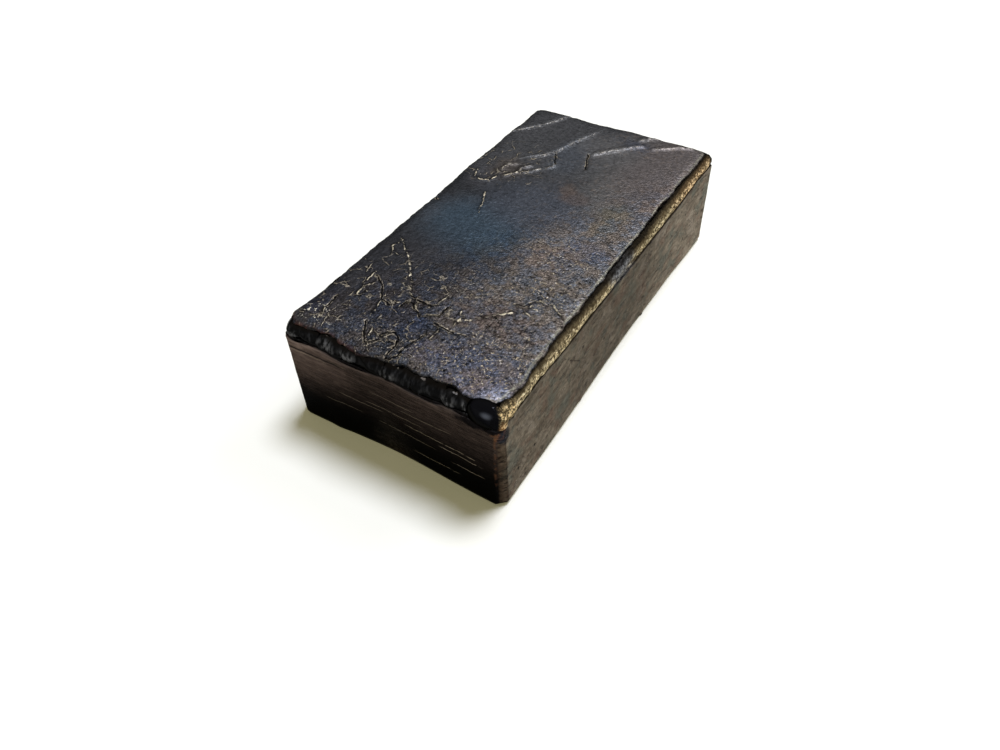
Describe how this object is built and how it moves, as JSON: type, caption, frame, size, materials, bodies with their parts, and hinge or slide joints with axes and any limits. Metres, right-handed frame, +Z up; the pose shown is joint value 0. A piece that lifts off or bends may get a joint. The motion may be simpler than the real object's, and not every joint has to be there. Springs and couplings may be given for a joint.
{
  "type": "metal ingot",
  "caption": "Rectangular hand-poured copper-alloy ingot with bevelled upright corners, a rolled rim and a ragged, heat-coloured crust on its open-cast top.",
  "frame": {"origin": "centre of the flat underside", "axes": "+Y along the ingot, +X across it, +Z up, with the open-cast top facing up"},
  "size_m": [0.0762, 0.1523, 0.0392],
  "materials": {
    "cast_alloy": "as cast, dark oxide skin with blue and brown heat colours and bare gold-coloured metal along the rim"
  },
  "bodies": {
    "root": {"ingot": "cast_alloy"}
  },
  "joints": []
}
